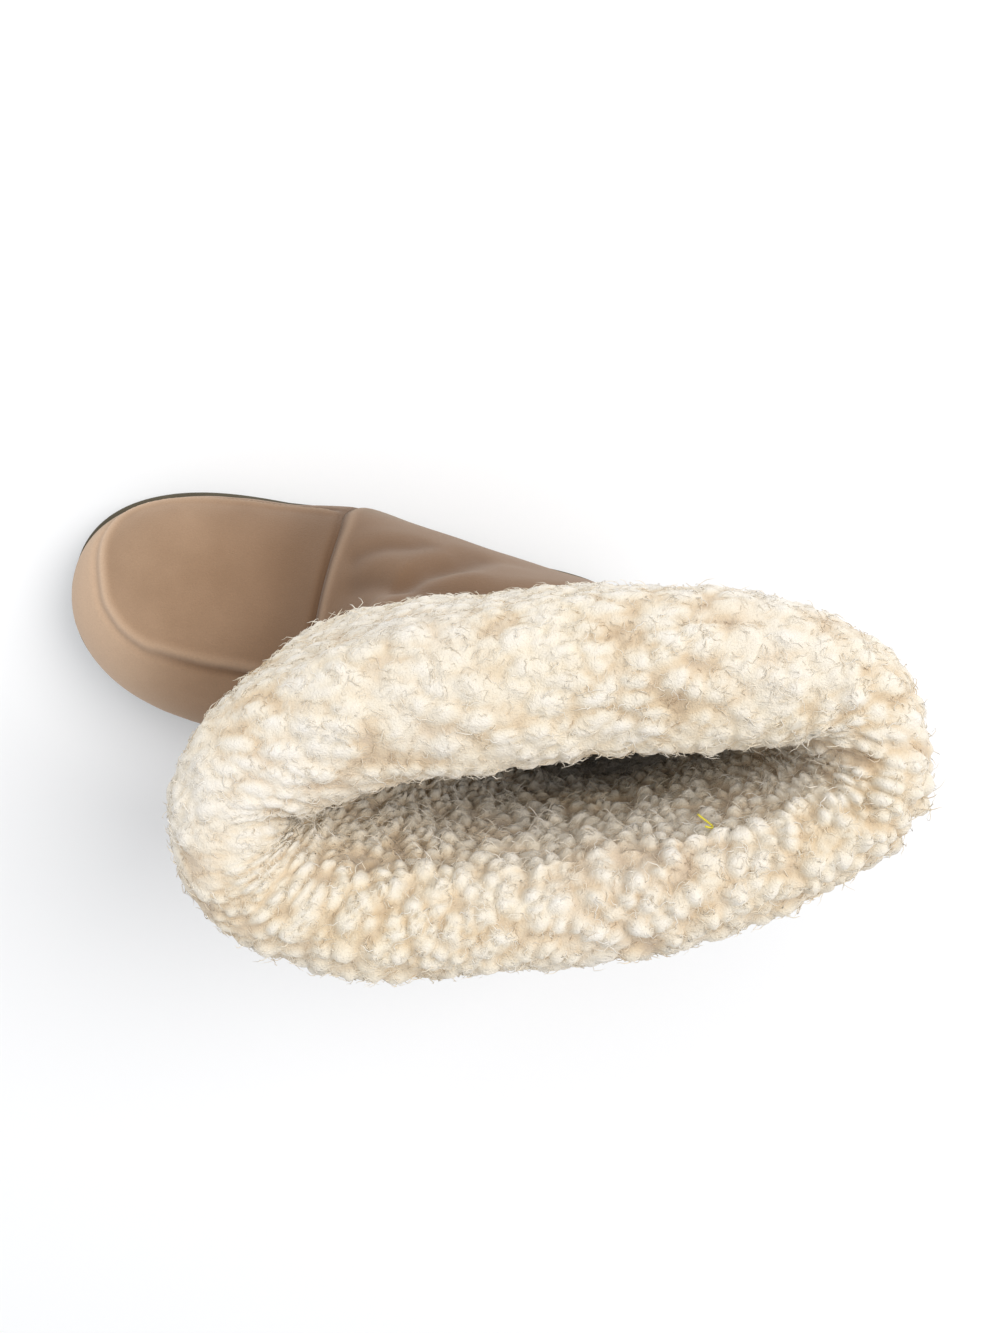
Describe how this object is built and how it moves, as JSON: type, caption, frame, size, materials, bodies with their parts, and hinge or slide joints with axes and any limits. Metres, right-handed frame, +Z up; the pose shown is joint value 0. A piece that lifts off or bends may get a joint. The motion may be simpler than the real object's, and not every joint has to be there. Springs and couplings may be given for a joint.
{
  "type": "sheepskin boot",
  "caption": "Short slouched suede boot with a round moccasin toe, a thick curly shearling cuff folded over the top, a fleece-lined inside and a low flat rubber sole.",
  "frame": {"origin": "on the floor, under the middle of the whole boot's box", "axes": "+X forward to the toe, +Y to the wearer's left, which is the outer side of this left boot, +Z up"},
  "size_m": [0.297, 0.143, 0.2363],
  "materials": {
    "suede": "napped tan suede, paler where it is rubbed",
    "shearling": "cream curly wool in soft clumps",
    "footbed": "near-black brushed textile",
    "sole_rubber": "matt dark olive-brown foam rubber"
  },
  "bodies": {
    "root": {"outsole": "sole_rubber", "insole": "footbed", "upper": "suede", "shaft": "suede", "cuff": "shearling"}
  },
  "joints": []
}
